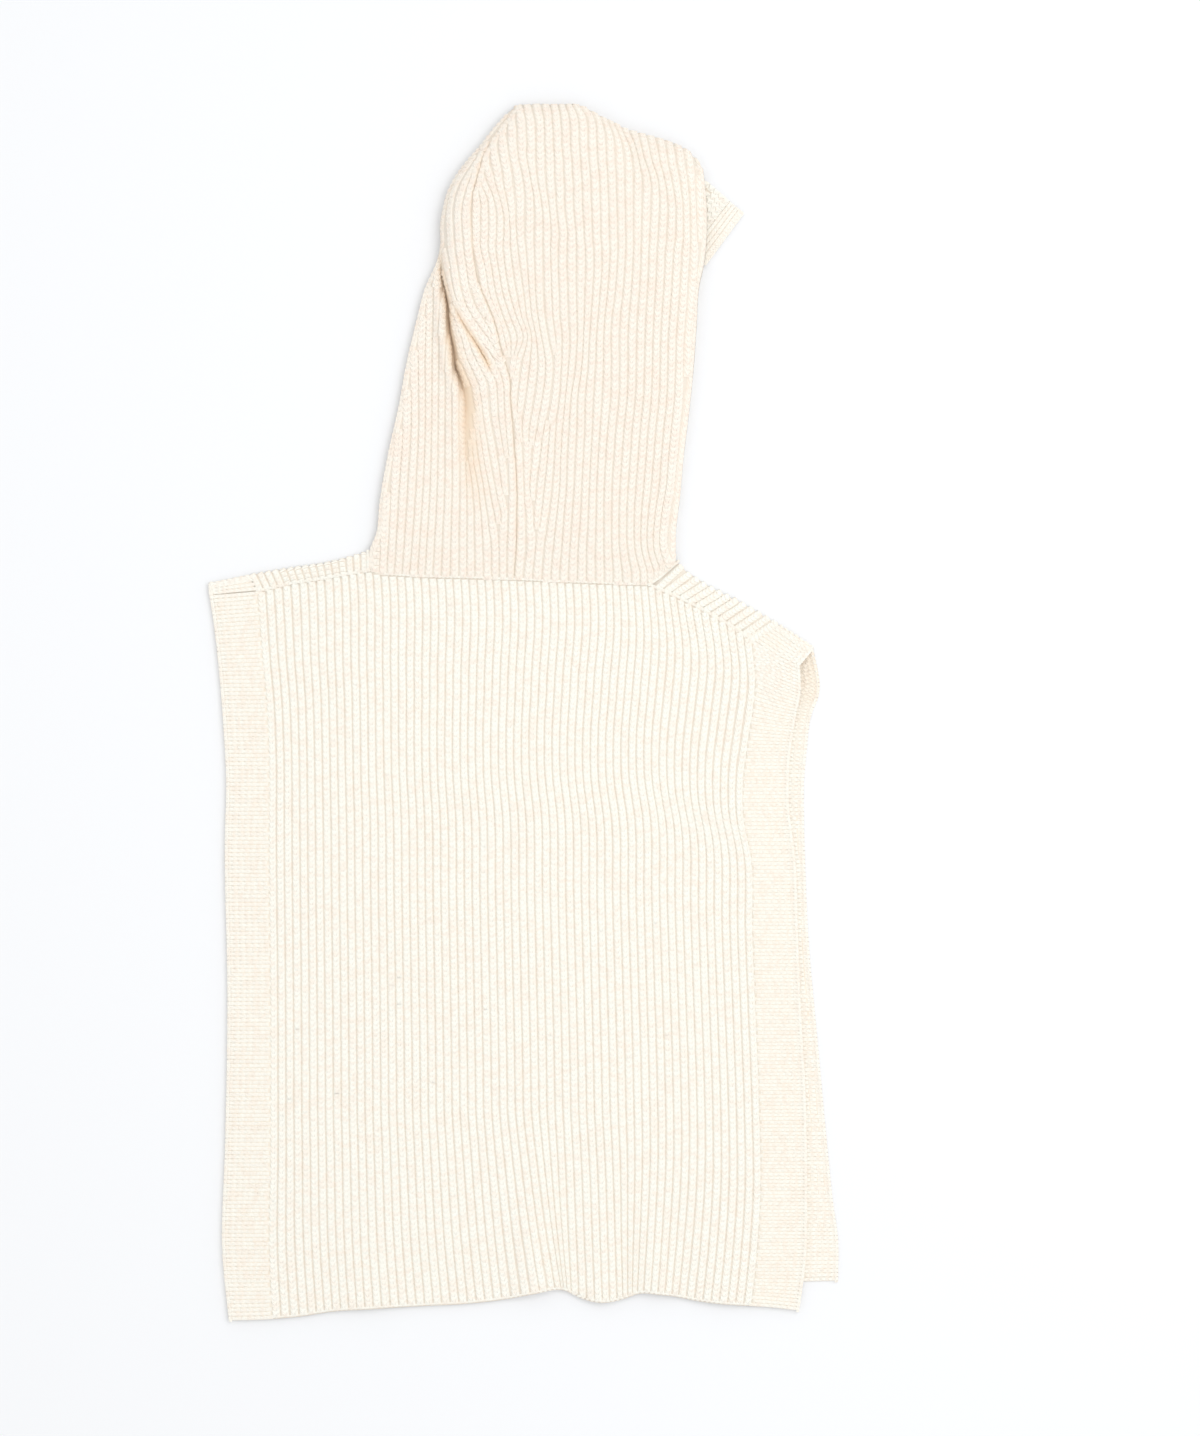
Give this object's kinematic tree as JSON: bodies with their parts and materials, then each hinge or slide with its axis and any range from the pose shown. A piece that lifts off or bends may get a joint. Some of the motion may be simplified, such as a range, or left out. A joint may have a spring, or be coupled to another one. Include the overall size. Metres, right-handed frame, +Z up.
{
  "type": "hooded knit cape",
  "caption": "Sleeveless rib-knit hooded cape laid flat, back side up, with armhole bands and an open hood folded over itself.",
  "frame": {"origin": "middle of the garment's outline as it lies, on the surface it rests on", "axes": "+Y from the hem to the crown of the hood, +X to the right of the back as it faces up, +Z up from the surface"},
  "size_m": [0.4803, 0.9283, 0.0279],
  "materials": {
    "body_rib_knit": "soft matt heather knit",
    "band_knit": "soft matt heather knit",
    "hood_rib_knit": "soft matt heather knit"
  },
  "bodies": {
    "root": {"back_panel": "body_rib_knit", "front_panel": "body_rib_knit", "back_band_left": "band_knit", "back_band_right": "band_knit", "front_band_left": "band_knit", "front_band_right": "band_knit", "hood_left": "hood_rib_knit", "hood_right": "hood_rib_knit", "hood_under": "hood_rib_knit", "hood_peak": "hood_rib_knit", "hood_band": "band_knit"}
  },
  "joints": []
}
